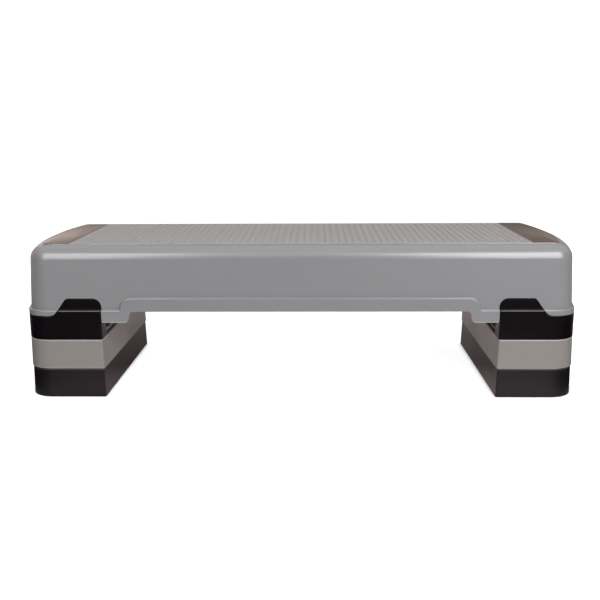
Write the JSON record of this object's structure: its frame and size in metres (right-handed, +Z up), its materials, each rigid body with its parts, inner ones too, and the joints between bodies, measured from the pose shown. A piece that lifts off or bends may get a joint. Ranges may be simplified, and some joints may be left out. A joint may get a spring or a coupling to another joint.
{
  "type": "aerobic step platform",
  "caption": "Low exercise step: a ribbed moulded deck with bowed ends on legs and stackable riser blocks that pull off to set its height.",
  "frame": {"origin": "on the floor under the middle of the deck, at the bottom of the lowest rubber feet", "axes": "+X along the platform's length, -Y to the front, +Z up"},
  "size_m": [0.9546, 0.3276, 0.2576],
  "materials": {
    "deck_plastic": "fine satin grain, mid grey",
    "tread_rubber": "ribbed, matt grey",
    "end_pad_rubber": "smooth satin black-brown",
    "leg_plastic": "satin black",
    "middle_riser_plastic": "satin warm grey",
    "lower_riser_plastic": "satin black",
    "foot_rubber": "matt black"
  },
  "bodies": {
    "deck": {"deck_shell": "deck_plastic", "tread_mat": "tread_rubber", "left_end_pad": "end_pad_rubber", "right_end_pad": "end_pad_rubber"},
    "left_lower_riser": {"left_lower_riser": "lower_riser_plastic", "left_lower_riser_front_inner_foot": "foot_rubber", "left_lower_riser_front_outer_foot": "foot_rubber", "left_lower_riser_back_inner_foot": "foot_rubber", "left_lower_riser_back_outer_foot": "foot_rubber"},
    "left_middle_riser": {"left_middle_riser": "middle_riser_plastic", "left_middle_riser_front_inner_foot": "foot_rubber", "left_middle_riser_front_outer_foot": "foot_rubber", "left_middle_riser_back_inner_foot": "foot_rubber", "left_middle_riser_back_outer_foot": "foot_rubber"},
    "left_leg": {"left_leg": "leg_plastic", "left_leg_front_inner_foot": "foot_rubber", "left_leg_front_outer_foot": "foot_rubber", "left_leg_back_inner_foot": "foot_rubber", "left_leg_back_outer_foot": "foot_rubber"},
    "right_lower_riser": {"right_lower_riser": "lower_riser_plastic", "right_lower_riser_front_inner_foot": "foot_rubber", "right_lower_riser_front_outer_foot": "foot_rubber", "right_lower_riser_back_inner_foot": "foot_rubber", "right_lower_riser_back_outer_foot": "foot_rubber"},
    "right_middle_riser": {"right_middle_riser": "middle_riser_plastic", "right_middle_riser_front_inner_foot": "foot_rubber", "right_middle_riser_front_outer_foot": "foot_rubber", "right_middle_riser_back_inner_foot": "foot_rubber", "right_middle_riser_back_outer_foot": "foot_rubber"},
    "right_leg": {"right_leg": "leg_plastic", "right_leg_front_inner_foot": "foot_rubber", "right_leg_front_outer_foot": "foot_rubber", "right_leg_back_inner_foot": "foot_rubber", "right_leg_back_outer_foot": "foot_rubber"}
  },
  "joints": [
    {"name": "left_leg_pull", "type": "slide", "parent": "deck", "child": "left_leg", "axis": [0, 0, -1], "range_m": [0, 0.08]},
    {"name": "left_middle_riser_pull", "type": "slide", "parent": "left_leg", "child": "left_middle_riser", "axis": [0, 0, -1], "range_m": [0, 0.03]},
    {"name": "left_lower_riser_pull", "type": "slide", "parent": "left_middle_riser", "child": "left_lower_riser", "axis": [0, 0, -1], "range_m": [0, 0.03]},
    {"name": "right_leg_pull", "type": "slide", "parent": "deck", "child": "right_leg", "axis": [0, 0, -1], "range_m": [0, 0.08]},
    {"name": "right_middle_riser_pull", "type": "slide", "parent": "right_leg", "child": "right_middle_riser", "axis": [0, 0, -1], "range_m": [0, 0.03]},
    {"name": "right_lower_riser_pull", "type": "slide", "parent": "right_middle_riser", "child": "right_lower_riser", "axis": [0, 0, -1], "range_m": [0, 0.03]}
  ]
}
